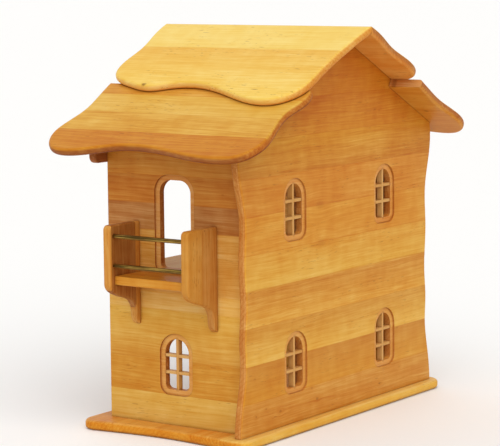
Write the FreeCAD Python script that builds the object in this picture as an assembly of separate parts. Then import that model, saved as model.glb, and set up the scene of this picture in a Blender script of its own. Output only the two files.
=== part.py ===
import FreeCAD, Part
import math
import os

V = FreeCAD.Vector

# The frame: X runs along the long gable front, +X to the right as one faces it.
# The gable front faces -Y and the open playing side faces +Y. +Z is up.
# The origin is the middle of the base's underside. All lengths are in millimetres.

# Boards
BOARD = 14.0                # every wall, floor and roof board
BASE_T = 16.0               # the base is a little thicker
EDGE_R = 6.0                # generous roundover on the roof and base edges
PANEL_EDGE_R = 4.0          # roundover on the gable front's wavy sides
SMALL_EDGE_R = 3.0          # balcony and floor edges

# Body of the house
BASE_HALF_X = 310.0
BASE_HALF_Y = 165.0
BASE_CORNER_R = 28.0
BASE_WAIST = 13.0           # how far each end of the base curves in at its middle
BASE_BOW_AT = 0.4           # at this share of the half depth from the middle,
BASE_BOW_SHARE = 0.7        # an end curves in by this share of the waist
WALL_OUT_X = 261.0          # outer faces of the two side walls
DEPTH_HALF = 148.5          # gable front's face to the back gable board's face, halved
GABLE_HALF_X = 292.0        # half width of the gable front's shoulders and the back gable board
STOREY_Z = 246.0            # top of the upper floor above the base board
FLOOR_EDGE_SET_BACK = 2.0   # upper floor's edge, in from the walls' edges

# Roof
PITCH = 27.0                # degrees
RIDGE_UNDER_Z = 621.0       # underside of the upper boards at the ridge, above the base board
LOWER_START = 177.0         # distance down the slope to the lower boards' upper ends
GABLE_BACK_BOTTOM = 420.0   # the back gable board hangs down to here, above the base board
GABLE_BACK_R = 11.0
RIDGE_R = 14.0              # the two upper boards are rounded over together at the ridge

# Openings: a window has an inner opening and a shallow step round it
OPEN_W = 47.0
OPEN_H = 83.0
OPEN_BOTTOM_R = 8.0
STEP_W = 9.0                # width of the routed step round every opening
STEP_DEPTH = 3.0
WINDOW_X = 136.5            # front windows are this far either side of the middle
SILL_Z = 57.5               # sill of the ground-floor windows above the base board
UPPER_SILL_Z = 305.5
DOOR_W = 61.0
DOOR_SILL_Z = 254.0
DOOR_TOP_Z = 397.0
DOOR_R = 21.0

# Window bars
BAR_W = 5.0
BAR_DEPTH = 9.5
BAR_SET_BACK = 0.8          # behind the routed step's face
BAR_TENON = 2.5             # each end is let this far into the wall

# Inner partitions
PARTITION_BACK_Y = 122.0
PARTITION_DOOR_W = 76.0
PARTITION_DOOR_H = 150.0
PARTITION_DOOR_R = 26.0
PARTITION_DOOR_Y = -12.0

# Balcony on the left side wall
BALCONY_CLEAR = 140.0       # between the two side boards
BALCONY_REACH = 78.0        # side boards stand out this far from the wall
BALCONY_TOP_Z = 328.0
BALCONY_CORNER_R = 8.0      # upper outer corner of a side board
BALCONY_KNEE_Z = 236.0      # below this a side board's outer edge sweeps in
BALCONY_FLOOR_REACH = 66.0
BALCONY_FLOOR_R = 2.0
RAIL_R = 3.5
RAIL_REACH = 67.0
RAIL_Z = (263.0, 310.5)
RAIL_SOCKET = 6.0           # depth of the blind hole that each rail end sits in
RAIL_CLEARANCE = 0.05

# Dowels that hold the boards together
DOWEL_R = 3.0
DOWEL_CLEARANCE = 0.05
DOWEL_SHORT = 8.0           # reach into the face of a board
DOWEL_LONG = 20.0           # reach into the edge of a board
DOWEL_IN_BASE = 9.0         # reach into the base board
DOWEL_IN_BALCONY = 14.0     # reach into the edge of a balcony side board
DOWEL_END_GAP = 0.5         # room left past each end of a dowel

# Where the dowels are. Heights are above the base board.
FRONT_BASE_DOWEL_X = (-230, -80, 80, 230)
SIDE_BASE_DOWEL_Y = (-90, 0, 90)
PARTITION_DOWEL_Y = (-105, 85)
FRONT_DOWEL_Z = (60, 200, 350, 440)
GABLE_DOWEL_Z = 440
FLOOR_DOWEL_X = (-150, 150)
FLOOR_DOWEL_Y = (-80, 60)
BALCONY_DOWEL_Z = (220, 300)
BALCONY_FLOOR_DOWEL_REACH = 30
UPPER_ROOF_DOWEL_X = (60, 125)
LOWER_ROOF_DOWEL_X = (190, 240)

FRONT_Y = -DEPTH_HALF
WALL_FRONT_Y = FRONT_Y + BOARD
BACK_Y = DEPTH_HALF
WALL_BACK_Y = BACK_Y - BOARD
WALL_IN_X = WALL_OUT_X - BOARD
SIN = math.sin(math.radians(PITCH))
COS = math.cos(math.radians(PITCH))
SLOPE = SIN / COS
UPRIGHT_T = BOARD / COS     # a roof board's thickness, measured plumb
DIAGONAL = math.sqrt(0.5)   # a quarter arc's middle lies this far along each of its two radii
TOUCH = 0.01                # closer than this counts as the same place
BEYOND = 1000.0             # a cutting box reaches past everything

# The gable front's side: height above the base board, then half width. A splayed foot, two shallow
# waves and the start of the shoulder, which runs on up to the slope at GABLE_HALF_X.
PANEL_SIDE = [
    (0, 292), (50, 286), (110, 276), (150, 278), (200, 274), (275, 278), (345, 276), (410, 291),
]

# Roof outlines as on the right: distance down the slope from the ridge, then distance along the
# house, positive to the back. The points are the crests, hollows and corners of the wavy edge, and a
# few between them that hold a long stretch to its line. The left boards are turned end for end, so
# their positive end is at the front.
UPPER_OUTLINE = [
    (0, 210), (60, 200), (150, 195), (205, 190), (235, 160), (230, 85), (200, 5), (200, -70),
    (210, -105), (200, -155), (175, -200), (135, -210), (90, -205), (45, -210), (0, -210),
]
LOWER_EAVE = [
    (LOWER_START, 195), (205, 200), (240, 190), (340, 200), (375, 180), (385, 145), (365, 5),
    (365, -70), (385, -145),
]
LOWER_VERGE_TOP = [(265, -205), (215, -208), (LOWER_START, -212)]
VERGE_CREST_S = 335         # a lower board's other verge is widest here, near the eave,
VERGE_CREST_LEFT = 218      # and reaches this far from the middle of the house
VERGE_CREST_RIGHT = 210
VERGE_CORNER_S = 380        # its corner with the eave is here,
VERGE_CORNER_IN = 30        # and this far in from the crest

# How a balcony side board's outer edge sweeps in to a narrow tail and round to the wall: reach
# from the wall, then height above the base board.
BALCONY_SWEEP = [
    (BALCONY_REACH, BALCONY_KNEE_Z), (75, 225), (62, 216), (40, 208), (20, 200), (12, 188),
    (10, 174), (5, 163), (0, 160),
]


def box(x0, x1, y0, y1, z0, z1):
    return Part.makeBox(x1 - x0, y1 - y0, z1 - z0, V(x0, y0, z0))


def curve(points):
    line = Part.BSplineCurve()
    line.interpolate(points)
    return line.toShape()


def plate(edges, thrust):
    wire = Part.Wire(Part.__sortEdges__(edges))
    return Part.Face(wire).extrude(thrust)


def polygon(points):
    return [Part.makeLine(a, b) for a, b in zip(points, points[1:] + points[:1])]


def quarter(centre_x, centre_z, radius, start, stop):
    """A quarter arc in the XZ plane between two unit directions from its centre."""
    def at(share, *directions):
        return V(centre_x + radius * share * sum(d[0] for d in directions), 0,
                 centre_z + radius * share * sum(d[1] for d in directions))
    return Part.Arc(at(1, start), at(DIAGONAL, start, stop), at(1, stop)).toShape()


def arch_outline(width, bottom, top, top_r, bottom_r):
    """A round-cornered opening, as edges in the XZ plane, centred on X = 0."""
    half = width / 2
    left, right, down, up = (-1, 0), (1, 0), (0, -1), (0, 1)
    rounds = [
        quarter(half - bottom_r, bottom + bottom_r, bottom_r, down, right),
        quarter(half - top_r, top - top_r, top_r, right, up),
        quarter(-half + top_r, top - top_r, top_r, up, left),
        quarter(-half + bottom_r, bottom + bottom_r, bottom_r, left, down),
    ]
    edges = list(rounds)
    for one, other in zip(rounds, rounds[1:] + rounds[:1]):
        end = one.valueAt(one.LastParameter)
        start = other.valueAt(other.FirstParameter)
        if end.distanceToPoint(start) > TOUCH:
            edges.append(Part.makeLine(end, start))
    return edges


def opening(width, bottom, top, top_r, bottom_r):
    """What a router removes for one opening in a board whose outer face is Y = 0."""
    through = plate(arch_outline(width, bottom, top, top_r, bottom_r), V(0, 3 * BOARD, 0))
    through.translate(V(0, -BOARD, 0))
    step = plate(
        arch_outline(width + 2 * STEP_W, bottom - STEP_W, top + STEP_W, top_r + STEP_W,
                     bottom_r + STEP_W),
        V(0, BOARD, 0),
    )
    step.translate(V(0, STEP_DEPTH - BOARD, 0))
    return through.fuse(step)


def window_opening(sill):
    return opening(OPEN_W, sill, sill + OPEN_H, OPEN_W / 2, OPEN_BOTTOM_R)


def window_bars(sill):
    """One upright and two cross bars, halved over each other, for a board whose face is Y = 0."""
    front = STEP_DEPTH + BAR_SET_BACK
    middle = front + BAR_DEPTH / 2
    back = front + BAR_DEPTH
    half = BAR_W / 2
    reach = OPEN_W / 2 + BAR_TENON
    upright = box(-half, half, front, back, sill - BAR_TENON, sill + OPEN_H + BAR_TENON)
    cross = []
    for third in (1, 2):
        z = sill + OPEN_H * third / 3
        bar = box(-reach, reach, front, back, z - half, z + half)
        upright = upright.cut(box(-half, half, middle, back, z - half, z + half))
        cross.append(bar.cut(box(-half, half, front, middle, z - half, z + half)))
    return upright, Part.makeCompound(cross)


def place(shape, side, across, height):
    """Moves what was drawn on the plane Y = 0 to a wall: front, left or right."""
    shape = shape.copy()
    shape.translate(V(across, 0, height))
    if side == "front":
        shape.translate(V(0, FRONT_Y, 0))
    if side == "left":
        shape.rotate(V(0, 0, 0), V(0, 0, 1), -90)
        shape.translate(V(-WALL_OUT_X, 0, 0))
    if side == "right":
        shape.rotate(V(0, 0, 0), V(0, 0, 1), 90)
        shape.translate(V(WALL_OUT_X, 0, 0))
    return shape


def lift(z):
    return z + BASE_T


class Dowels:
    """Blind wooden dowels, kept in groups; every board drills itself for all of them."""

    def __init__(self):
        self.groups = {}
        self.holes = []

    def add(self, group, point, axis, back, forward):
        """A dowel through point, reaching back against axis and forward along it."""
        axis = V(*axis)
        start = point - axis * back
        length = back + forward
        pin = Part.makeCylinder(DOWEL_R, length - 2 * DOWEL_END_GAP,
                                start + axis * DOWEL_END_GAP, axis)
        hole = Part.makeCylinder(DOWEL_R + DOWEL_CLEARANCE, length, start, axis)
        self.groups.setdefault(group, []).append(pin)
        self.holes.append(hole)

    def drill(self, board):
        hits = [hole for hole in self.holes if hole.BoundBox.intersect(board.BoundBox)]
        return board.cut(hits) if hits else board


def rounded(shape, radius, wanted):
    edges = [edge for edge in shape.Edges if wanted(edge)]
    return shape.makeFillet(radius, edges)


def is_curved(edge):
    return isinstance(edge.Curve, Part.BSplineCurve)


def base_board():
    """A board with rounded corners whose two ends curve gently in."""
    x = BASE_HALF_X
    y = BASE_HALF_Y
    r = BASE_CORNER_R
    bow_x = x - BASE_WAIST * BASE_BOW_SHARE
    bow_y = y * BASE_BOW_AT
    k = r * (1 - DIAGONAL)
    edges = []
    for sx in (1, -1):
        edges.append(curve([V(sx * x, -y + r, 0), V(sx * bow_x, -bow_y, 0),
                            V(sx * (x - BASE_WAIST), 0, 0), V(sx * bow_x, bow_y, 0),
                            V(sx * x, y - r, 0)]))
        for sy in (1, -1):
            edges.append(Part.Arc(V(sx * (x - r), sy * y, 0), V(sx * (x - k), sy * (y - k), 0),
                                  V(sx * x, sy * (y - r), 0)).toShape())
    for sy in (1, -1):
        edges.append(Part.makeLine(V(-x + r, sy * y, 0), V(x - r, sy * y, 0)))
    board = plate(edges, V(0, 0, BASE_T))
    return rounded(board, EDGE_R, lambda edge: edge.BoundBox.ZLength < TOUCH)


def gable_top():
    """Corners of a gable's sloping top, from the right-hand end over the ridge to the left.

    It touches the underside of the upper roof boards, then steps down to the lower ones."""
    step_x = LOWER_START * COS
    step_z = RIDGE_UNDER_Z - SLOPE * step_x
    right = [
        (GABLE_HALF_X, RIDGE_UNDER_Z - UPRIGHT_T - SLOPE * GABLE_HALF_X),
        (step_x - BOARD * SIN, step_z - BOARD * COS),
        (step_x, step_z),
    ]
    left = [(-x, z) for x, z in reversed(right)]
    return [V(x, 0, z) for x, z in right + [(0, RIDGE_UNDER_Z)] + left]


def front_gable_panel():
    """The long gable front: wavy sides, a stepped gable top and four arched windows."""
    top = gable_top()
    sides = PANEL_SIDE + [(top[0].z, GABLE_HALF_X)]
    foot = sides[0][1]
    edges = [curve([V(sign * x, 0, z) for z, x in sides]) for sign in (1, -1)]
    edges.append(Part.makeLine(V(-foot, 0, 0), V(foot, 0, 0)))
    edges += [Part.makeLine(a, b) for a, b in zip(top, top[1:])]
    panel = rounded(plate(edges, V(0, BOARD, 0)), PANEL_EDGE_R, is_curved)
    for x in (-WINDOW_X, WINDOW_X):
        for sill in (SILL_Z, UPPER_SILL_Z):
            cut = window_opening(sill)
            cut.translate(V(x, 0, 0))
            panel = panel.cut(cut)
    panel.translate(V(0, FRONT_Y, lift(0)))
    return panel


def back_gable_board():
    """Closes the roof space at the back; its round shoulders stand out past the side walls."""
    r = GABLE_BACK_R
    x = GABLE_HALF_X
    bottom = GABLE_BACK_BOTTOM
    top = gable_top()
    edges = [Part.makeLine(a, b) for a, b in zip(top, top[1:])]
    edges.append(Part.makeLine(top[0], V(x, 0, bottom + r)))
    edges.append(quarter(x - r, bottom + r, r, (1, 0), (0, -1)))
    edges.append(Part.makeLine(V(x - r, 0, bottom), V(-x + r, 0, bottom)))
    edges.append(quarter(-x + r, bottom + r, r, (0, -1), (-1, 0)))
    edges.append(Part.makeLine(V(-x, 0, bottom + r), top[-1]))
    board = rounded(plate(edges, V(0, BOARD, 0)), SMALL_EDGE_R,
                    lambda edge: edge.BoundBox.ZMax < bottom + r + TOUCH
                    and edge.BoundBox.YLength < TOUCH)
    board.translate(V(0, WALL_BACK_Y, lift(0)))
    return board


def side_wall():
    """A side wall as it stands on the left; its top is bevelled to the roof's slope."""
    def top(x):
        return RIDGE_UNDER_Z - UPRIGHT_T - SLOPE * x
    corners = [V(-WALL_OUT_X, 0, 0), V(-WALL_IN_X, 0, 0), V(-WALL_IN_X, 0, top(WALL_IN_X)),
               V(-WALL_OUT_X, 0, top(WALL_OUT_X))]
    wall = plate(polygon(corners), V(0, WALL_BACK_Y - WALL_FRONT_Y, 0))
    wall.translate(V(0, WALL_FRONT_Y, lift(0)))
    return wall


def left_side_wall():
    wall = side_wall()
    door = opening(DOOR_W, DOOR_SILL_Z, DOOR_TOP_Z, DOOR_R, OPEN_BOTTOM_R)
    for cut in (window_opening(SILL_Z), door):
        wall = wall.cut(place(cut, "left", 0, BASE_T))
    return wall


def right_side_wall():
    wall = side_wall().mirror(V(0, 0, 0), V(1, 0, 0))
    for sill in (SILL_Z, UPPER_SILL_Z):
        wall = wall.cut(place(window_opening(sill), "right", 0, BASE_T))
    return wall


def upper_floor():
    floor = box(-WALL_IN_X, WALL_IN_X, WALL_FRONT_Y, WALL_BACK_Y - FLOOR_EDGE_SET_BACK,
                lift(STOREY_Z - BOARD), lift(STOREY_Z))
    back = floor.BoundBox.YMax
    return rounded(floor, SMALL_EDGE_R, lambda edge: edge.BoundBox.YMin > back - TOUCH
                   and edge.BoundBox.XLength > TOUCH)


def partition(bottom, top):
    """A wall across the middle of a storey, with a round-cornered doorway."""
    half = BOARD / 2
    wall = box(-half, half, WALL_FRONT_Y, PARTITION_BACK_Y, bottom, top)
    wall = rounded(wall, SMALL_EDGE_R, lambda edge: edge.BoundBox.YMin > PARTITION_BACK_Y - TOUCH
                   and edge.BoundBox.ZLength > TOUCH)
    doorway = plate(
        arch_outline(PARTITION_DOOR_W, bottom - BOARD, bottom + PARTITION_DOOR_H,
                     PARTITION_DOOR_R, SMALL_EDGE_R),
        V(0, 2 * BOARD, 0),
    )
    doorway.rotate(V(0, 0, 0), V(0, 0, 1), 90)
    doorway.translate(V(BOARD, PARTITION_DOOR_Y, 0))
    return wall.cut(doorway)


def roof_board(outline, under_z):
    """A right-hand roof board: flat, fully rounded where it shows, laid on the slope."""
    points = [V(s, y, 0) for s, y in outline]
    edges = [curve(points), Part.makeLine(points[-1], points[0])]
    board = plate(edges, V(0, 0, -BOARD))
    board = rounded(board, EDGE_R, is_curved)
    board.rotate(V(0, 0, 0), V(0, 1, 0), PITCH)
    board.translate(V(0, 0, lift(under_z + UPRIGHT_T)))
    return board


def ridge_waste():
    """What is planed off over the ridge, so that the two upper boards round over together."""
    apex = lift(RIDGE_UNDER_Z + UPRIGHT_T)
    x = RIDGE_R * SIN
    z = apex - SLOPE * x
    crown = apex - RIDGE_R * (1 / COS - 1)
    above = apex + BOARD
    edges = [
        Part.Arc(V(-x, 0, z), V(0, 0, crown), V(x, 0, z)).toShape(),
        Part.makeLine(V(x, 0, z), V(x, 0, above)),
        Part.makeLine(V(x, 0, above), V(-x, 0, above)),
        Part.makeLine(V(-x, 0, above), V(-x, 0, z)),
    ]
    waste = plate(edges, V(0, 2 * BEYOND, 0))
    waste.translate(V(0, -BEYOND, 0))
    return waste


def upper_roof_board():
    """Mitred against its twin at the ridge."""
    board = roof_board(UPPER_OUTLINE, RIDGE_UNDER_Z)
    return board.common(box(0, BEYOND, -BEYOND, BEYOND, 0, BEYOND)).cut(ridge_waste())


def lower_roof_board(verge_crest):
    """Tucked under the upper board, so its own underside is one thickness lower."""
    corner = (VERGE_CORNER_S, -verge_crest + VERGE_CORNER_IN)
    verge = [corner, (VERGE_CREST_S, -verge_crest)] + LOWER_VERGE_TOP
    return roof_board(LOWER_EAVE + verge, RIDGE_UNDER_Z - UPRIGHT_T)


def turned(shape):
    """The same board on the other side of the ridge, turned end for end."""
    other = shape.copy()
    other.rotate(V(0, 0, 0), V(0, 0, 1), 180)
    return other


def balcony_side():
    """A balcony side board in the XZ plane, its wall edge at X = 0, reaching to -X."""
    r = BALCONY_CORNER_R
    out = -BALCONY_REACH
    top = BALCONY_TOP_Z
    sweep = [V(-reach, 0, z) for reach, z in BALCONY_SWEEP]
    edges = [
        Part.makeLine(sweep[-1], V(0, 0, top)),
        Part.makeLine(V(0, 0, top), V(out + r, 0, top)),
        quarter(out + r, top - r, r, (0, 1), (-1, 0)),
        Part.makeLine(V(out, 0, top - r), sweep[0]),
        curve(sweep),
    ]
    return rounded(plate(edges, V(0, BOARD, 0)), SMALL_EDGE_R,
                   lambda edge: edge.BoundBox.YLength < TOUCH and edge.BoundBox.XMin < -TOUCH)


def balcony_sides():
    sides = {}
    for name, y in (("balcony_side_front", -BALCONY_CLEAR / 2 - BOARD),
                    ("balcony_side_back", BALCONY_CLEAR / 2)):
        board = balcony_side()
        board.translate(V(-WALL_OUT_X, y, lift(0)))
        sides[name] = board
    return sides


def balcony_floor():
    floor = box(-WALL_OUT_X - BALCONY_FLOOR_REACH, -WALL_OUT_X, -BALCONY_CLEAR / 2,
                BALCONY_CLEAR / 2, lift(STOREY_Z - BOARD), lift(STOREY_Z))
    front = floor.BoundBox.XMin
    return rounded(floor, BALCONY_FLOOR_R, lambda edge: edge.BoundBox.XMax < front + TOUCH
                   and edge.BoundBox.YLength > TOUCH)


def rail(height, radius, socket):
    half = BALCONY_CLEAR / 2 + socket
    return Part.makeCylinder(radius, 2 * half,
                             V(-WALL_OUT_X - RAIL_REACH, -half, lift(height)), V(0, 1, 0))


def add_body_dowels(dowels):
    """Base, partitions, walls, back gable board and upper floor."""
    wall_x = WALL_OUT_X - BOARD / 2
    floor_z = lift(STOREY_Z - BOARD / 2)
    up = (0, 0, 1)
    back = (0, 1, 0)
    for x in FRONT_BASE_DOWEL_X:
        dowels.add("base_dowels", V(x, FRONT_Y + BOARD / 2, BASE_T), up, DOWEL_IN_BASE, DOWEL_LONG)
    for y in PARTITION_DOWEL_Y:
        dowels.add("partition_dowels", V(0, y, BASE_T), up, DOWEL_IN_BASE, DOWEL_LONG)
        dowels.add("partition_dowels", V(0, y, lift(STOREY_Z)), up, DOWEL_SHORT, DOWEL_LONG)
    for x in FLOOR_DOWEL_X:
        dowels.add("floor_dowels", V(x, WALL_FRONT_Y, floor_z), back, DOWEL_SHORT, DOWEL_LONG)
    for sign in (-1, 1):
        x = sign * wall_x
        for y in SIDE_BASE_DOWEL_Y:
            dowels.add("base_dowels", V(x, y, BASE_T), up, DOWEL_IN_BASE, DOWEL_LONG)
        for z in FRONT_DOWEL_Z:
            dowels.add("front_dowels", V(x, WALL_FRONT_Y, lift(z)), back, DOWEL_SHORT, DOWEL_LONG)
        dowels.add("gable_dowels", V(x, WALL_BACK_Y, lift(GABLE_DOWEL_Z)), back,
                   DOWEL_LONG, DOWEL_SHORT)
        for y in FLOOR_DOWEL_Y:
            dowels.add("floor_dowels", V(sign * WALL_IN_X, y, floor_z), (sign, 0, 0),
                       DOWEL_LONG, DOWEL_SHORT)


def add_balcony_dowels(dowels):
    """Side boards to the wall, and the balcony floor to the side boards."""
    for sign in (-1, 1):
        inner = sign * BALCONY_CLEAR / 2
        for z in BALCONY_DOWEL_Z:
            point = V(-WALL_OUT_X, inner + sign * BOARD / 2, lift(z))
            dowels.add("balcony_dowels", point, (1, 0, 0), DOWEL_IN_BALCONY, DOWEL_SHORT)
        point = V(-WALL_OUT_X - BALCONY_FLOOR_DOWEL_REACH, inner, lift(STOREY_Z - BOARD / 2))
        dowels.add("balcony_dowels", point, (0, -sign, 0), DOWEL_SHORT, DOWEL_LONG)


def add_roof_dowels(dowels):
    """Square to the slope, from both gables into the roof boards."""
    under = [(x, RIDGE_UNDER_Z) for x in UPPER_ROOF_DOWEL_X]
    under += [(x, RIDGE_UNDER_Z - UPRIGHT_T) for x in LOWER_ROOF_DOWEL_X]
    for sign in (-1, 1):
        for y in (FRONT_Y + BOARD / 2, BACK_Y - BOARD / 2):
            for x, ridge_z in under:
                dowels.add("roof_dowels", V(sign * x, y, lift(ridge_z - SLOPE * x)),
                           (sign * SIN, 0, COS), DOWEL_LONG, DOWEL_SHORT)


def build():
    parts = {
        "base_board": base_board(),
        "front_gable_panel": front_gable_panel(),
        "left_side_wall": left_side_wall(),
        "right_side_wall": right_side_wall(),
        "upper_floor": upper_floor(),
        "lower_partition": partition(BASE_T, lift(STOREY_Z - BOARD)),
        "upper_partition": partition(lift(STOREY_Z), lift(GABLE_BACK_BOTTOM)),
        "back_gable_board": back_gable_board(),
        "roof_upper_right": upper_roof_board(),
        "roof_lower_right": lower_roof_board(VERGE_CREST_RIGHT),
        "roof_lower_left": turned(lower_roof_board(VERGE_CREST_LEFT)),
        "balcony_floor": balcony_floor(),
    }
    parts["roof_upper_left"] = turned(parts["roof_upper_right"])
    parts.update(balcony_sides())

    windows = [
        ("front_gable_panel", "front", -WINDOW_X, SILL_Z, "front_lower_left"),
        ("front_gable_panel", "front", WINDOW_X, SILL_Z, "front_lower_right"),
        ("front_gable_panel", "front", -WINDOW_X, UPPER_SILL_Z, "front_upper_left"),
        ("front_gable_panel", "front", WINDOW_X, UPPER_SILL_Z, "front_upper_right"),
        ("left_side_wall", "left", 0, SILL_Z, "left_wall"),
        ("right_side_wall", "right", 0, SILL_Z, "right_wall_lower"),
        ("right_side_wall", "right", 0, UPPER_SILL_Z, "right_wall_upper"),
    ]
    for wall, side, across, sill, name in windows:
        upright, cross = (place(bar, side, across, BASE_T) for bar in window_bars(sill))
        parts[wall] = parts[wall].cut(upright).cut(cross)
        parts["window_upright_" + name] = upright
        parts["window_crossbars_" + name] = cross

    for name, height in zip(("balcony_rail_lower", "balcony_rail_upper"), RAIL_Z):
        parts[name] = rail(height, RAIL_R, RAIL_SOCKET)
        hole = rail(height, RAIL_R + RAIL_CLEARANCE, RAIL_SOCKET)
        for side in ("balcony_side_front", "balcony_side_back"):
            parts[side] = parts[side].cut(hole)

    dowels = Dowels()
    add_body_dowels(dowels)
    add_balcony_dowels(dowels)
    add_roof_dowels(dowels)
    for name in list(parts):
        if not name.startswith(("window_", "balcony_rail")):
            parts[name] = dowels.drill(parts[name])
    for name, pins in dowels.groups.items():
        parts[name] = Part.makeCompound(pins)
    return parts


def main():
    os.makedirs("parts", exist_ok=True)
    for name, shape in build().items():
        bad = [solid for solid in shape.Solids if not solid.isValid() or solid.Volume <= 0]
        print(f"{name}: {len(shape.Solids)} solid(s), {sum(s.Volume for s in shape.Solids):.0f} mm3"
              + (" INVALID" if bad else ""))
        shape.exportStep(f"parts/{name}.step")


main()
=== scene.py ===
import math

import bpy
from mathutils import Matrix, Vector

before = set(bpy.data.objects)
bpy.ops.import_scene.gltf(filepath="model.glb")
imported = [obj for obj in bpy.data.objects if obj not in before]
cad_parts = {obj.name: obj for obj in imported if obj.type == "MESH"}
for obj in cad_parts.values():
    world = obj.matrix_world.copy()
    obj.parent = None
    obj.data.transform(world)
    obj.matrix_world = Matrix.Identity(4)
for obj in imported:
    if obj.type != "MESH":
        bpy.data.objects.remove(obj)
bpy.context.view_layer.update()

MM = 0.001

# The frame, as packed: X along the gable front, which faces -Y, and Z up. Board sizes in mm.
BOARD = 14.0
BASE_T = 16.0
PITCH = math.radians(27.0)
RIDGE_UNDER = 621.0         # underside of the upper roof boards at the ridge, above the base board
RIDGE_TOP = BASE_T + RIDGE_UNDER + BOARD / math.cos(PITCH)      # apex of their top faces
FRONT_FACE = 148.5          # the gable front's outer face, from the middle of the house
SIDE_FACE = 261.0           # a side wall's outer face
ROUT_DEPTH = 3.0            # depth of the step round every opening
BALCONY_START = -345.0      # the balcony side boards' planks are measured from here, along X
X = Vector((1, 0, 0))
Y = Vector((0, 1, 0))
Z = Vector((0, 0, 1))
DOWN_RIGHT = Vector((math.cos(PITCH), 0, -math.sin(PITCH)))
DOWN_LEFT = Vector((-math.cos(PITCH), 0, -math.sin(PITCH)))

# Camera: a long lens, a little above the ridge, looking down at the corner between the gable front
# and the balcony.
CAMERA_AT = (-2.9642, -2.0468, 0.7664)
CAMERA_YAW = math.radians(54.908)
CAMERA_PITCH = math.radians(7.109)
CAMERA_ROLL = math.radians(-0.521)
CAMERA_LENS = 154.24

# Light
SKY = 0.52                  # even light from all round
KEY_FROM = (-0.50, -0.45, 0.75)     # a broad soft light, high up at the front left
KEY_STRENGTH = 1.8
KEY_SPREAD = math.radians(70)
FILL_FROM = (0.35, 0.75, 0.55)      # a weaker one behind, that shines into the open back
FILL_STRENGTH = 0.7
FILL_SPREAD = math.radians(90)
FLOOR_SIZE = 400.0
FLOOR_TONE = (248, 247, 245)

# Colours laid over the wood, and how much of each
FRESH_CUT_TONE = (222, 156, 84)     # the paler, pinker routed steps
FRESH_CUT_SHARE = 0.6
FLECK_TONE = (132, 66, 14)
KNOT_TONE = (104, 56, 18)
KNOT_SHARE = 0.85
# painted shade in the corners
CORNER_SHADE_TONE = (118, 58, 20)
CORNER_SHADE_SHARE = 0.5
# painted shade along sharp edges
SHARP_EDGE_SHADE_TONE = (140, 76, 26)
SHARP_EDGE_SHADE_SHARE = 0.3
EDGE_SHARE = 0.85                   # long edges, end grain, and the painted shade on the underside

# Wood figure, in metres unless it says otherwise
RING_SPACING = 0.0065
WANDER = 0.007              # how far the grain drifts sideways along a plank
JOINT_LINE = 0.00045        # half width of a glue line's dark middle
HAIR = 0.2                  # in mm, either side of a joint, where the colour changes over
CORNER_SHADE_REACH = 0.007         # how far out of a corner the painted shade reaches
BRINK = 0.0016              # reach of the test for sharp edges, which get painted shade
KNOT_LENGTH = 1.7           # a knot is this many times as long along the grain as it is wide

# One plank that is wider than the house, in mm, for pieces too small to have a joint
WIDE_START = -700.0
WIDE = 1500.0


def linear(tone):
    """A display colour out of 255 as linear light."""
    return tuple(((c / 255 + 0.055) / 1.055) ** 2.4 for c in tone) + (1.0,)


class Graph:
    """Adds nodes to a material's tree. A value is a number, a tuple or another node's output."""

    def __init__(self, name):
        self.material = bpy.data.materials.new(name)
        self.material.use_nodes = True
        self.tree = self.material.node_tree
        self.shader = self.tree.nodes["Principled BSDF"]

    def node(self, kind, inputs, **settings):
        made = self.tree.nodes.new(kind)
        for name, value in settings.items():
            setattr(made, name, value)
        for key, value in inputs.items():
            self.feed(made.inputs[key], value)
        return made

    def feed(self, socket, value):
        if isinstance(value, bpy.types.NodeSocket):
            self.tree.links.new(value, socket)
        else:
            socket.default_value = value

    def math(self, operation, a, b=0.0):
        return self.node("ShaderNodeMath", {0: a, 1: b}, operation=operation).outputs[0]

    def total(self, *values):
        result = values[0]
        for value in values[1:]:
            result = self.math("ADD", result, value)
        return result

    def scaled(self, value, low, high):
        """Turns 0 to 1 into low to high."""
        return self.math("ADD", self.math("MULTIPLY", value, high - low), low)

    def dot(self, vector, direction):
        return self.node("ShaderNodeVectorMath", {0: vector, 1: tuple(direction)},
                         operation="DOT_PRODUCT").outputs["Value"]

    def vector(self, x, y, z):
        return self.node("ShaderNodeCombineXYZ", {0: x, 1: y, 2: z}).outputs[0]

    def noise(self, vector, scale, detail=2.0, roughness=0.5):
        return self.node("ShaderNodeTexNoise", {"Vector": vector, "Scale": scale, "Detail": detail,
                                                "Roughness": roughness}).outputs[0]

    def step(self, value, low, high):
        """0 below low, 1 above high, smooth between. low may be the larger."""
        if low > high:
            return self.math("SUBTRACT", 1.0, self.step(value, high, low))
        return self.node("ShaderNodeMapRange", {"Value": value, "From Min": low, "From Max": high},
                         interpolation_type="SMOOTHSTEP").outputs[0]

    def mix(self, factor, a, b):
        return self.node("ShaderNodeMix", {0: factor, 6: a, 7: b}, data_type="RGBA").outputs[2]

    def bump(self, height, distance, strength):
        made = self.node("ShaderNodeBump", {"Height": height, "Distance": distance,
                                            "Strength": strength})
        self.feed(self.shader.inputs["Normal"], made.outputs[0])


def plank_tones(g, side, start, planks):
    """The plank's colour at each place, then where the joints and the board's middle are."""
    whole = sum(width for width, _ in planks)
    share = g.math("DIVIDE", g.math("SUBTRACT", side, start * MM), whole * MM)
    tones = g.node("ShaderNodeValToRGB", {0: share})
    stops = tones.color_ramp.elements
    joints = []
    reach = 0.0
    for number, (width, tone) in enumerate(planks):
        first, last = tone if isinstance(tone[0], tuple) else (tone, tone)
        low = (reach + HAIR) / whole
        high = (reach + width - HAIR) / whole
        if number:
            joints.append((start + reach) * MM)
            pair = (stops.new(low), stops.new(high))
        else:
            pair = (stops[0], stops[1])
            pair[0].position = low
            pair[1].position = high
        pair[0].color = linear(first)
        pair[1].color = linear(last)
        reach += width
    return tones.outputs[0], joints, (start + whole / 2) * MM


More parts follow.
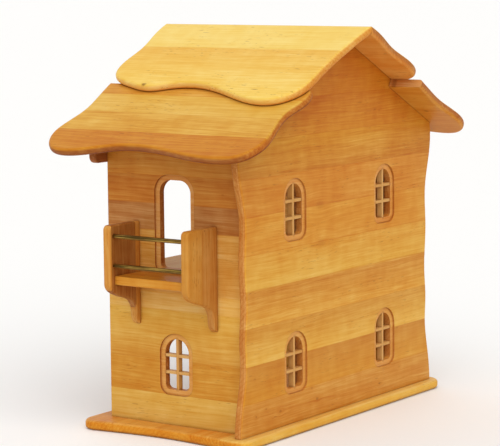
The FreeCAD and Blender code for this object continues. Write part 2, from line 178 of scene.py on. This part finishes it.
def count_planks(g, side, joints, seed):
    """Each plank's number, a mark along the glue lines, and three random numbers of its own."""
    index = float(seed)
    line = 0.0
    for joint in joints:
        index = g.math("ADD", g.math("GREATER_THAN", side, joint), index)
        gap = g.math("ABSOLUTE", g.math("SUBTRACT", side, joint))
        line = g.math("MAXIMUM", g.step(gap, 2 * JOINT_LINE, JOINT_LINE), line)
    own = g.node("ShaderNodeTexWhiteNoise", {"W": index}, noise_dimensions="1D").outputs["Color"]
    return index, line, g.node("ShaderNodeSeparateXYZ", {0: own}).outputs


def add_knots(g, place, along, side, knots, drift):
    """A mark in each knot, a halo round it, and the grain's drift with a bend past it."""
    mark = 0.0
    halo = 0.0
    ragged = g.scaled(g.noise(place, 420.0, 2.0), 0.55, 1.45)
    for knot_along, knot_side, radius, strength in knots:
        du = g.math("DIVIDE", g.math("SUBTRACT", along, knot_along * MM), KNOT_LENGTH * radius * MM)
        dv = g.math("DIVIDE", g.math("SUBTRACT", side, knot_side * MM), radius * MM)
        away = g.math("SQRT", g.total(g.math("MULTIPLY", du, du), g.math("MULTIPLY", dv, dv)))
        this_mark = g.step(g.math("MULTIPLY", away, ragged), 1.2, 0.3)
        mark = g.math("MAXIMUM", g.math("MULTIPLY", this_mark, strength), mark)
        this_halo = g.math("MULTIPLY", g.step(away, 3.6, 0.8), strength)
        halo = g.math("MAXIMUM", this_halo, halo)
        bend = g.math("MULTIPLY", g.math("MULTIPLY", this_halo, dv), -radius * MM)
        drift = g.math("ADD", drift, bend)
    return mark, halo, drift


def growth_rings(g, wavy, depth, slow, own, middle):
    """Rings about a pith that lies outside each plank."""
    pith_side = g.math("SUBTRACT", wavy, g.math("ADD", g.scaled(own[0], -0.03, 0.03), middle))
    pith_depth = g.math("ADD", depth, g.scaled(own[1], 0.03, 0.09))
    tree_radius = g.math("SQRT", g.total(g.math("MULTIPLY", pith_side, pith_side),
                                         g.math("MULTIPLY", pith_depth, pith_depth)))
    turn = g.math("MULTIPLY", g.math("ADD", tree_radius, g.math("MULTIPLY", slow, 0.012)),
                  2 * math.pi / RING_SPACING)
    return g.step(g.math("SINE", turn), -0.2, 1.0)


def figure_layers(g, along, wavy, depth, own):
    """Fibres, broad bands and short dark flecks, each stretched along the grain."""
    shifted = g.math("ADD", along, g.math("MULTIPLY", own[2], 3.0))

    def streaks(lengthwise, crosswise, detail, roughness=0.5):
        return g.noise(g.vector(g.math("MULTIPLY", shifted, lengthwise),
                                g.math("MULTIPLY", wavy, crosswise),
                                g.math("MULTIPLY", depth, crosswise)), 1.0, detail, roughness)

    ticks = g.step(streaks(70.0, 480.0, 1.0), 0.64, 0.74)
    patches = g.step(streaks(9.0, 26.0, 1.0), 0.46, 0.64)
    return {
        "fibre": streaks(22.0, 620.0, 3.0, 0.65),
        "strand": streaks(11.0, 290.0, 2.0),
        "lines": g.step(streaks(10.0, 430.0, 1.0), 0.58, 0.74),
        "band": streaks(3.0, 60.0, 2.0),
        "cloud": streaks(7.0, 14.0, 2.0),
        "mottle": streaks(42.0, 26.0, 2.0),
        "fleck": g.math("MULTIPLY", ticks, patches),
    }


def tone_by_side(g, tone, place, normal, end, face, sides, ends, under, rout):
    """Edges, end grain and routed steps differ a little from the show face, and the face that looks away
    gets painted shade.
    """
    if sides:
        facing = g.math("ABSOLUTE", g.dot(normal, face))
        tone = g.mix(g.math("MULTIPLY", g.step(facing, 0.9, 0.2), EDGE_SHARE), tone, linear(sides))
    if ends:
        tone = g.mix(g.math("MULTIPLY", end, EDGE_SHARE), tone, linear(ends))
    # painted shade on the face that looks away
    if under:
        away = g.dot(normal, face)
        tone = g.mix(g.math("MULTIPLY", g.step(away, 0.1, -0.7), EDGE_SHARE), tone, linear(under))
    if rout:
        level = g.math("ABSOLUTE", g.dot(place, face))
        near = g.math("COMPARE", level, rout * MM)
        near.node.inputs[2].default_value = 0.5 * MM
        tone = g.mix(g.math("MULTIPLY", near, FRESH_CUT_SHARE), tone, linear(FRESH_CUT_TONE))
    return tone


def deepen(g, tone, layers, ring, end, knot_mark, knot_halo, line, own, figure):
    """Raising a wood colour to a power makes it deeper and redder at once. Some planks are plain
    and some are lively."""
    lively = g.scaled(own[0], 0.7 * figure, 1.5 * figure)
    grainy = g.total(
        g.scaled(layers["fibre"], -0.22, 0.22),
        g.scaled(layers["strand"], -0.24, 0.24),
        g.scaled(layers["band"], -0.16, 0.16),
        g.math("MULTIPLY", layers["lines"], 0.13),
        g.math("MULTIPLY", ring, 0.04),
    )
    power = g.total(
        0.97,
        g.math("MULTIPLY", grainy, lively),
        g.scaled(layers["cloud"], -0.22, 0.22),
        g.scaled(layers["mottle"], -0.16, 0.16),
        g.math("MULTIPLY", knot_halo, 0.16),
        g.math("MULTIPLY", knot_mark, 0.12),
        g.math("MULTIPLY", line, 0.12),
        g.math("MULTIPLY", end, g.scaled(ring, 0.0, 0.06)),
    )
    return g.node("ShaderNodeGamma", {0: tone, 1: power}).outputs[0]


def add_painted_shade(g, colour, corner_shade_reach):
    """Painted shade darkens the corners and the sharp edges."""
    # painted shade where corners lie in shade, found by an occlusion test
    corner = g.node("ShaderNodeAmbientOcclusion", {"Distance": corner_shade_reach}, samples=6).outputs["AO"]
    corner_shade = g.math("MULTIPLY", g.step(corner, 0.9, 0.35), CORNER_SHADE_SHARE)
    colour = g.mix(corner_shade, colour, linear(CORNER_SHADE_TONE))
    # painted shade along sharp edges, found by a short occlusion test inside the wood
    brink = g.node("ShaderNodeAmbientOcclusion", {"Distance": BRINK}, samples=6, inside=True)
    sharp_edge_shade = g.math("MULTIPLY", g.step(brink.outputs["AO"], 0.9, 0.5), SHARP_EDGE_SHADE_SHARE)
    return g.mix(sharp_edge_shade, colour, linear(SHARP_EDGE_SHADE_TONE))


def edge_glued(name, grain, across, start, planks, knots=(), seed=0, flecks=0.5, figure=1.0,
               offset=(0, 0, 0), face=None, sides=None, ends=None, under=None, rout=None,
               corner_shade_reach=CORNER_SHADE_REACH):
    """Oiled edge-glued wood.

    grain and across are the directions along and across the planks. planks lists (width in mm,
    colour) from start, in mm along across, measured from offset. A pair of colours shades from one
    joint to the next. knots lists (along, across, radius, strength) in mm. flecks is how strongly
    the flecks show, and figure how strongly the grain does. face is the direction that the show
    face looks in. sides, ends and under are the colours of the long edges, the end grain
    and the face that looks away; under is painted shade, and sides is partly painted shade
    where a roof rim lies in shade. rout is how far along face, in mm, the step round the openings
    lies. corner_shade_reach is how far out of a corner the painted shade reaches, in metres."""
    g = Graph(name)
    place = g.node("ShaderNodeTexCoord", {}).outputs["Object"]
    place = g.node("ShaderNodeVectorMath", {0: place, 1: tuple(v * MM for v in offset)},
                   operation="SUBTRACT").outputs[0]
    along = g.dot(place, grain)
    side = g.dot(place, across)
    depth = g.dot(place, grain.cross(across))
    normal = g.node("ShaderNodeNewGeometry", {}).outputs["Normal"]
    end = g.step(g.math("ABSOLUTE", g.dot(normal, grain)), 0.55, 0.92)

    tone, joints, middle = plank_tones(g, side, start, planks)
    index, line, own = count_planks(g, side, joints, seed)
    slow = g.noise(g.vector(g.math("MULTIPLY", along, 4.0), g.math("MULTIPLY", side, 9.0), index), 1.0)
    drift = g.scaled(slow, -WANDER, WANDER)
    knot_mark, knot_halo, drift = add_knots(g, place, along, side, knots, drift)
    wavy = g.math("ADD", side, drift)
    ring = growth_rings(g, wavy, depth, slow, own, middle)
    layers = figure_layers(g, along, wavy, depth, own)

    tone = tone_by_side(g, tone, place, normal, end, face, sides, ends, under, rout)
    colour = deepen(g, tone, layers, ring, end, knot_mark, knot_halo, line, own, figure)
    colour = g.mix(g.math("MULTIPLY", layers["fleck"], flecks), colour, linear(FLECK_TONE))
    dark = g.math("MULTIPLY", g.math("MULTIPLY", knot_mark, knot_mark), KNOT_SHARE)
    colour = g.mix(dark, colour, linear(KNOT_TONE))
    g.feed(g.shader.inputs["Base Color"], add_painted_shade(g, colour, corner_shade_reach))

    gloss = g.total(0.48, g.scaled(layers["fibre"], -0.07, 0.07),
                    g.scaled(layers["cloud"], -0.06, 0.06), g.math("MULTIPLY", end, 0.14))
    g.feed(g.shader.inputs["Roughness"], gloss)
    g.shader.inputs["Specular IOR Level"].default_value = 0.15
    height = g.total(layers["fibre"], g.math("MULTIPLY", ring, 0.3),
                     g.math("MULTIPLY", layers["fleck"], -0.3), g.math("MULTIPLY", line, -0.6))
    g.bump(height, 0.00025, 0.45)
    return g.material


def brass(name):
    """Drawn brass rod, a little dulled, with fine dark streaks along it: partly draw marks, partly
    painted reflection stripes.
    """
    g = Graph(name)
    place = g.node("ShaderNodeTexCoord", {}).outputs["Object"]
    x, y, z = g.node("ShaderNodeSeparateXYZ", {0: place}).outputs
    draw_marks_and_reflection = g.noise(g.vector(g.math("MULTIPLY", x, 620.0), g.math("MULTIPLY", y, 14.0),
                             g.math("MULTIPLY", z, 620.0)), 1.0, 3.0)
    dull = g.noise(place, 38.0, 3.0)
    colour = g.mix(g.step(dull, 0.35, 0.7), linear((192, 158, 78)), linear((150, 116, 54)))
    # dark streaks along the rod: partly draw marks, partly painted reflection stripes
    colour = g.mix(g.step(draw_marks_and_reflection, 0.42, 0.6), colour, linear((92, 70, 32)))
    g.feed(g.shader.inputs["Base Color"], colour)
    g.feed(g.shader.inputs["Roughness"], g.total(0.27, g.scaled(dull, 0.0, 0.2)))
    g.shader.inputs["Metallic"].default_value = 1.0
    g.bump(draw_marks_and_reflection, 0.0001, 0.35)
    return g.material


def stack(*pairs):
    """(width, colour) pairs from (top of plank, colour) pairs, in mm above the base board."""
    planks = []
    below = 0.0
    for top, tone in pairs:
        planks.append((top - below, tone))
        below = top
    return planks


def dress(material, *nodes):
    for node in nodes:
        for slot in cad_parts[node].material_slots:
            slot.material = material


def front_wood():
    planks = stack(
        (52, (206, 138, 50)), (111, ((212, 145, 44), (198, 128, 40))),
        (171, ((226, 172, 70), (206, 142, 50))), (230, ((220, 158, 58), (202, 133, 44))),
        (287, ((222, 167, 64), (214, 149, 50))), (347, (212, 142, 44)), (406, (208, 134, 42)),
        # from 465 mm up the planks are deeper and darker: partly their own tone, partly painted shade
        # under the eaves
        (465, ((200, 128, 38), (205, 135, 32))), (524, ((202, 126, 28), (191, 108, 20))),
        (583, (196, 116, 24)), (640, (190, 110, 22)),
    )
    knots = [(-250, 45, 2, 0.6), (-222, 53, 2, 0.5), (-182, 42, 3, 0.6), (-90, 64, 2, 0.5),
             (-75, 44, 3, 0.6), (60, 70, 2, 0.4), (120, 36, 2, 0.5), (185, 55, 2, 0.4),
             (-64, 363, 10, 0.35), (-60, 301, 9, 0.35)]
    return edge_glued("gable_front_wood", X, Z, BASE_T, planks, knots, seed=3, figure=0.8,
                      flecks=0.35, face=-Y, sides=(206, 134, 56), ends=(192, 124, 56),
                      rout=FRONT_FACE - ROUT_DEPTH, corner_shade_reach=0.004)


def side_wood():
    planks = stack(
        (50, (218, 170, 78)), (105, (202, 136, 42)), (187, ((208, 148, 58), (220, 167, 68))),
        # the plank from 187 to 215 mm is lighter: partly its own tone, partly painted light that lifts
        # the balcony bracket's shadow
        (215, (224, 172, 84)), (315, (212, 154, 72)), (359, (176, 110, 50)), (404, (193, 118, 38)),
        (500, (203, 129, 42)),
    )
    knots = [(98, 105, 3, 0.4), (-20, 145, 2, 0.4), (-96, 395, 2, 0.4)]
    return edge_glued("side_wall_wood", Y, Z, BASE_T, planks, knots, seed=21, figure=1.1, flecks=0.4,
                      face=X, sides=(190, 116, 52), ends=(176, 104, 44), rout=SIDE_FACE - ROUT_DEPTH)


def inner_wood():
    # The floor's tones are light: partly the wood's own tone, partly painted light from the open back.
    planks = [(90, (232, 174, 78)), (95, (236, 182, 88)), (88, (230, 170, 74)),
              (60, (234, 178, 82))]
    return edge_glued("inner_wood", X, Y, -150, planks, seed=37)


def partition_wood():
    planks = [(80, (204, 144, 74)), (78, (211, 154, 82)), (88, (200, 138, 68)), (84, (208, 150, 78)),
              (110, (203, 142, 72))]
    return edge_glued("partition_wood", Y, Z, BASE_T, planks, seed=44)


def gable_back_wood():
    # The lowest plank is darker: partly its own tone, partly painted shade where the eaves shade the
    # shoulders.
    planks = [(60, (158, 90, 40)), (70, (182, 112, 54)), (90, (176, 106, 50))]
    return edge_glued("gable_back_wood", X, Z, BASE_T + 415, planks, seed=52)


def base_wood():
    planks = [(48, (224, 174, 84)), (62, (212, 144, 56)), (74, (204, 136, 52)), (80, (214, 150, 62)),
              (66, (206, 138, 54))]
    return edge_glued("base_wood", X, Y, -165, planks, seed=61, face=Z, sides=(224, 166, 54),
                      ends=(208, 126, 22))


def roof_wood(name, down, start, planks, knots, seed, **options):
    """start is the distance from the ridge down the slope to the first plank."""
    upward = Y.cross(down)
    if upward.z < 0:
        upward = -upward
    return edge_glued(name, Y, down, start, planks, knots, seed, offset=(0, 0, RIDGE_TOP),
                      face=upward, corner_shade_reach=0.002, **options)


def upper_roof_wood(name, down, knots, seed, ends):
    planks = [(83, (235, 200, 102)), (164, ((227, 176, 72), (238, 202, 98)))]
    # The underside colour is painted shade.
    return roof_wood(name, down, 0, planks, knots, seed, flecks=0.7, figure=0.8,
                     sides=(236, 186, 100), ends=ends, under=(216, 136, 54))


def lower_roof_wood(name, down, knots, seed, sides, ends, under):
    planks = [(67, (208, 146, 52)), (56, (216, 167, 68)), (57, (211, 156, 56)), (70, (197, 124, 26))]
    return roof_wood(name, down, 150, planks, knots, seed, figure=0.9,
                     sides=sides, ends=ends, under=under)


def balcony_front_wood():
    planks = [(44, ((200, 136, 52), (194, 131, 54))), (52, (188, 125, 54))]
    return edge_glued("balcony_front_wood", Z, X, BALCONY_START, planks, seed=83, flecks=0.7, figure=0.7)


def balcony_back_wood():
    # The wide middle stave is dark: partly its own tone, partly painted shadow of the front side board.
    planks = [(11, (206, 142, 62)), (61, (160, 100, 44)), (36, (200, 138, 60))]
    return edge_glued("balcony_back_wood", Z, X, BALCONY_START, planks, seed=91, figure=1.2)


def balcony_floor_wood():
    planks = [(30, (204, 132, 38)), (40, (194, 122, 38))]
    return edge_glued("balcony_floor_wood", Y, X, -330, planks, seed=97)


def bar_wood(name, grain, across, seed):
    return edge_glued(name, grain, across, WIDE_START, [(WIDE, (210, 156, 84))], seed=seed,
                      figure=0.7)


def dress_all():
    dress(side_wood(), "left_side_wall", "right_side_wall")
    dress(front_wood(), "front_gable_panel")
    dress(inner_wood(), "upper_floor")
    dress(partition_wood(), "lower_partition", "upper_partition")
    dress(gable_back_wood(), "back_gable_board")
    dress(base_wood(), "base_board")
    dress(upper_roof_wood("roof_upper_left_wood", DOWN_LEFT, [(118, 206, 4, 0.9)], 5,
                          ends=(214, 142, 56)), "roof_upper_left")
    dress(upper_roof_wood("roof_upper_right_wood", DOWN_RIGHT, [], 9, ends=(172, 96, 40)),
          "roof_upper_right")
    # The lower left board's rim and underside colours are dark: painted shade, as that rim lies in
    # shade.
    dress(lower_roof_wood("roof_lower_left_wood", DOWN_LEFT, [], 13, sides=(148, 82, 34),
                          ends=(190, 114, 38), under=(132, 62, 14)), "roof_lower_left")
    # The lower right board's underside colour is painted shade.
    dress(lower_roof_wood("roof_lower_right_wood", DOWN_RIGHT,
                          [(-158, 185, 4, 0.7), (-168, 288, 4, 0.7)], 17, sides=(206, 146, 86),
                          ends=(168, 92, 38), under=(204, 132, 40)), "roof_lower_right")
    dress(balcony_front_wood(), "balcony_side_front")
    dress(balcony_back_wood(), "balcony_side_back")
    dress(balcony_floor_wood(), "balcony_floor")
    dress(brass("rail_brass"), "balcony_rail_lower", "balcony_rail_upper")
    upright = bar_wood("upright_wood", Z, X, 101)
    along_front = bar_wood("front_crossbar_wood", X, Z, 103)
    along_side = bar_wood("side_crossbar_wood", Y, Z, 107)
    dowel = edge_glued("dowel_wood", Z, X, WIDE_START, [(WIDE, (218, 176, 126))], seed=113)
    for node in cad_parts:
        if node.startswith("window_upright"):
            dress(upright, node)
        elif node.startswith("window_crossbars_front"):
            dress(along_front, node)
        elif node.startswith("window_crossbars"):
            dress(along_side, node)
        elif node.endswith("dowels"):
            dress(dowel, node)


def make_floor():
    half = FLOOR_SIZE / 2
    mesh = bpy.data.meshes.new("floor")
    mesh.from_pydata([(-half, -half, 0), (half, -half, 0), (half, half, 0), (-half, half, 0)], [],
                     [(0, 1, 2, 3)])
    floor = bpy.data.objects.new("floor", mesh)
    bpy.context.scene.collection.objects.link(floor)
    g = Graph("floor_paper")
    g.feed(g.shader.inputs["Base Color"], linear(FLOOR_TONE))
    g.shader.inputs["Roughness"].default_value = 0.9
    g.shader.inputs["Specular IOR Level"].default_value = 0.1
    mesh.materials.append(g.material)


def make_sun(name, came_from, strength, spread):
    data = bpy.data.lights.new(name, "SUN")
    data.energy = strength
    data.angle = spread
    sun = bpy.data.objects.new(name, data)
    sun.rotation_euler = Vector(came_from).to_track_quat("Z", "Y").to_euler()
    bpy.context.scene.collection.objects.link(sun)


def make_light():
    world = bpy.data.worlds.new("studio")
    world.use_nodes = True
    background = world.node_tree.nodes["Background"]
    background.inputs["Color"].default_value = (1.0, 1.0, 1.0, 1.0)
    background.inputs["Strength"].default_value = SKY
    bpy.context.scene.world = world
    make_sun("key", KEY_FROM, KEY_STRENGTH, KEY_SPREAD)
    make_sun("fill", FILL_FROM, FILL_STRENGTH, FILL_SPREAD)


def make_camera():
    ahead = Vector((math.sin(CAMERA_YAW) * math.cos(CAMERA_PITCH),
                    math.cos(CAMERA_YAW) * math.cos(CAMERA_PITCH), -math.sin(CAMERA_PITCH)))
    level = Vector((math.cos(CAMERA_YAW), -math.sin(CAMERA_YAW), 0))
    upward = level.cross(ahead)
    right = level * math.cos(CAMERA_ROLL) + upward * math.sin(CAMERA_ROLL)
    top = upward * math.cos(CAMERA_ROLL) - level * math.sin(CAMERA_ROLL)
    turn = Matrix((right, top, -ahead)).transposed().to_4x4()
    data = bpy.data.cameras.new("camera")
    data.lens = CAMERA_LENS
    camera = bpy.data.objects.new("camera", data)
    camera.matrix_world = Matrix.Translation(CAMERA_AT) @ turn
    bpy.context.scene.collection.objects.link(camera)
    bpy.context.scene.camera = camera


make_camera()
make_light()
make_floor()
dress_all()
bpy.context.scene.view_settings.view_transform = "Standard"
